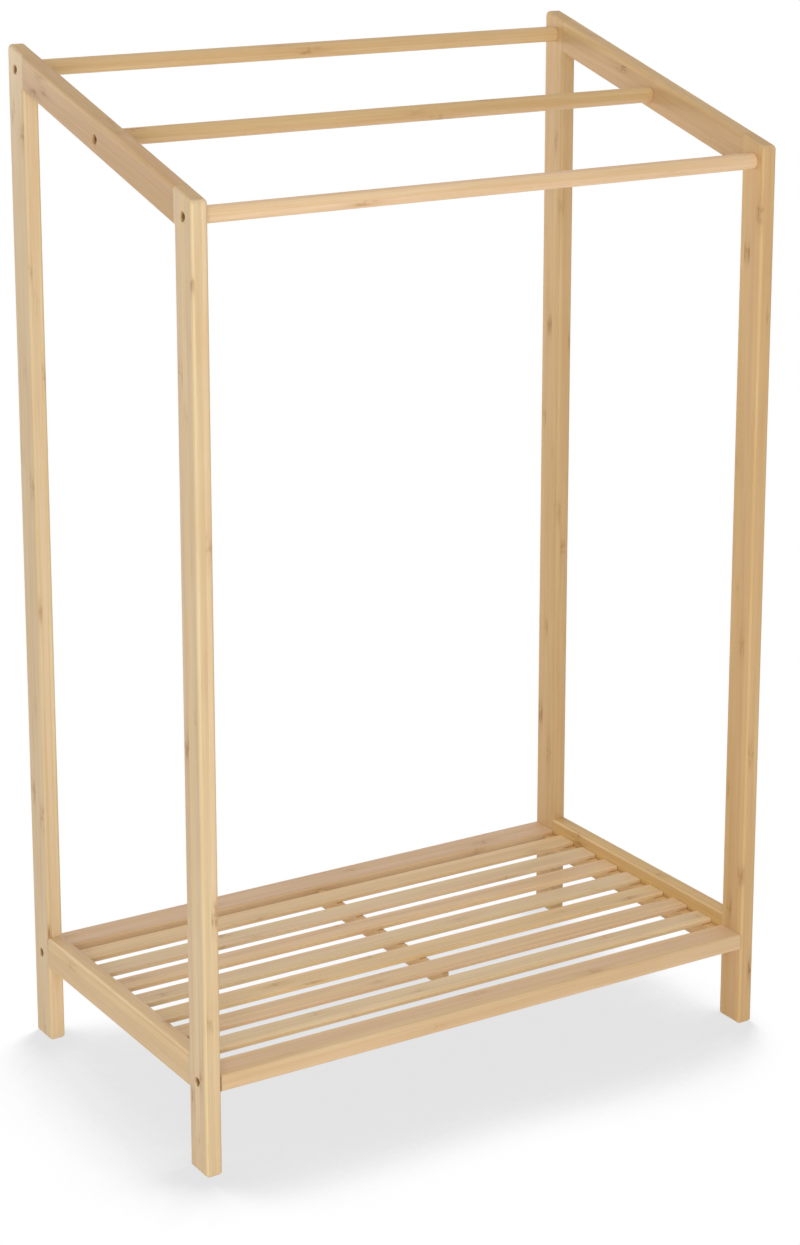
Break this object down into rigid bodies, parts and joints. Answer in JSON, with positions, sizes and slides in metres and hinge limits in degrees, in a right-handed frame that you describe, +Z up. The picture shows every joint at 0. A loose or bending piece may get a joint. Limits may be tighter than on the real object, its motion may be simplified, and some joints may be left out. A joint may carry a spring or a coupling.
{
  "type": "towel rack",
  "caption": "Free-standing bamboo towel rack: side frames with sloped tops, round bars across the top to hang towels on, and a low slatted shelf between the legs.",
  "frame": {"origin": "on the floor, under the middle of the rack's box", "axes": "+Z up, -Y towards the low front, +X to the right seen from the front"},
  "size_m": [0.5, 0.292, 0.7948],
  "materials": {
    "frame_bamboo": "satin clear lacquer on laminated bamboo",
    "bar_bamboo": "satin clear lacquer on turned bamboo",
    "shelf_bamboo": "satin clear lacquer on laminated bamboo",
    "dowel_wood": "bare wood",
    "screw_steel": "dark bronze-tone plating",
    "brad_steel": "bright steel"
  },
  "bodies": {
    "root": {"left_front_post": "frame_bamboo", "left_rear_post": "frame_bamboo", "left_top_rail": "frame_bamboo", "left_shelf_rail": "frame_bamboo", "left_frame_dowels": "dowel_wood", "left_bar_screws": "screw_steel", "left_board_screws": "screw_steel", "right_front_post": "frame_bamboo", "right_rear_post": "frame_bamboo", "right_top_rail": "frame_bamboo", "right_shelf_rail": "frame_bamboo", "right_frame_dowels": "dowel_wood", "right_bar_screws": "screw_steel", "right_board_screws": "screw_steel", "front_towel_bar": "bar_bamboo", "middle_towel_bar": "bar_bamboo", "rear_towel_bar": "bar_bamboo", "front_shelf_board": "shelf_bamboo", "rear_shelf_board": "shelf_bamboo", "shelf_slat_1": "shelf_bamboo", "shelf_slat_2": "shelf_bamboo", "shelf_slat_3": "shelf_bamboo", "shelf_slat_4": "shelf_bamboo", "shelf_slat_5": "shelf_bamboo", "shelf_slat_6": "shelf_bamboo", "shelf_slat_7": "shelf_bamboo", "left_end_batten": "shelf_bamboo", "left_end_batten_brads": "brad_steel", "right_end_batten": "shelf_bamboo", "right_end_batten_brads": "brad_steel", "centre_batten": "shelf_bamboo", "centre_batten_brads": "brad_steel"}
  },
  "joints": []
}
